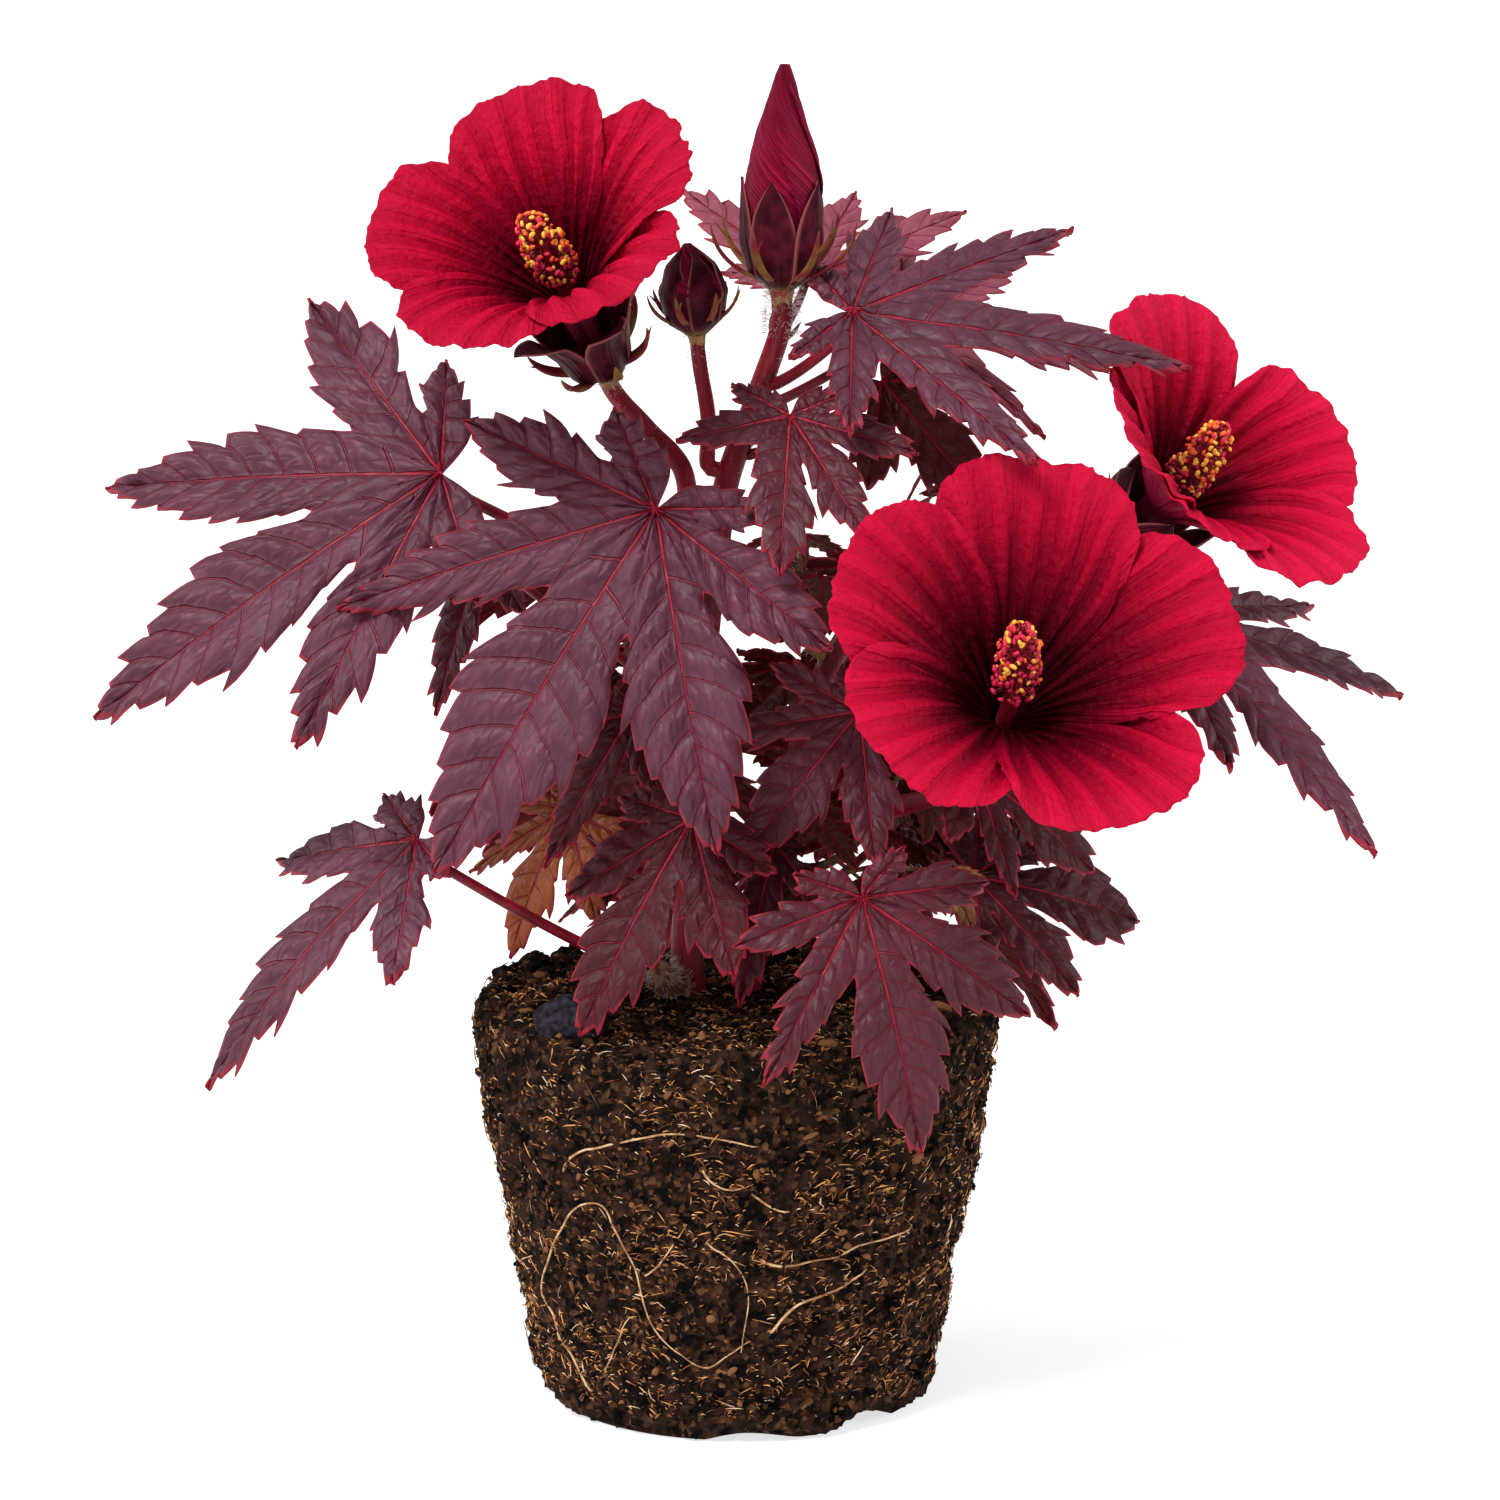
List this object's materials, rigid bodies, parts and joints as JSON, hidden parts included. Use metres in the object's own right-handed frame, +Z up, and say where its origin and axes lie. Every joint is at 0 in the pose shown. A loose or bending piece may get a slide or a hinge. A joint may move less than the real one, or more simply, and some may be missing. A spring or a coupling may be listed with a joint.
{
  "type": "hibiscus shrub in flower on a bare root ball",
  "caption": "Young hibiscus shrub with dark lobed leaves, crimson funnel blooms and buds, standing on its bare root ball.",
  "frame": {"origin": "middle of the root ball's flat underside", "axes": "+Z up; the largest bloom and the large front leaf face -Y, +X to the right seen from there"},
  "size_m": [0.3444, 0.2128, 0.355],
  "materials": {
    "peat": "crumbly dark peat with tan fibres and pale roots",
    "stem": "smooth maroon stems with short hairs",
    "leaf": "dark burgundy leaf with a soft sheen and red veins",
    "petal": "soft crimson petals with a near-black throat",
    "bud": "dark magenta furled petals in maroon sepals"
  },
  "bodies": {
    "root": {"bloom_front": "petal", "bloom_left": "petal", "bloom_right": "petal", "bud_bough": "stem", "bud_small": "bud", "bud_tall": "bud", "front_bloom_bough": "stem", "leaf_back_1": "leaf", "leaf_back_2": "leaf", "leaf_back_3": "leaf", "leaf_back_4": "leaf", "leaf_back_5": "leaf", "leaf_back_6": "leaf", "leaf_back_7": "leaf", "leaf_back_8": "leaf", "leaf_behind_bud": "leaf", "leaf_front_foot": "leaf", "leaf_front_large": "leaf", "leaf_front_low": "leaf", "leaf_front_middle": "leaf", "leaf_inner_hanging": "leaf", "leaf_inner_low": "leaf", "leaf_left_brown": "leaf", "leaf_left_inner": "leaf", "leaf_left_low": "leaf", "leaf_left_upper": "leaf", "leaf_right_far": "leaf", "leaf_right_folded": "leaf", "leaf_right_low": "leaf", "leaf_right_pale": "leaf", "leaf_top_middle": "leaf", "leaf_top_right": "leaf", "leaf_under_bloom": "leaf", "left_bloom_bough": "stem", "main_stem": "stem", "right_bloom_bough": "stem", "right_stem": "stem", "root_ball": "peat", "small_bud_bough": "stem", "tuft_back_left": "leaf", "tuft_back_right": "leaf", "tuft_foot_left": "leaf", "tuft_inner_top": "leaf", "tuft_middle": "leaf", "tuft_right": "leaf"}
  },
  "joints": []
}
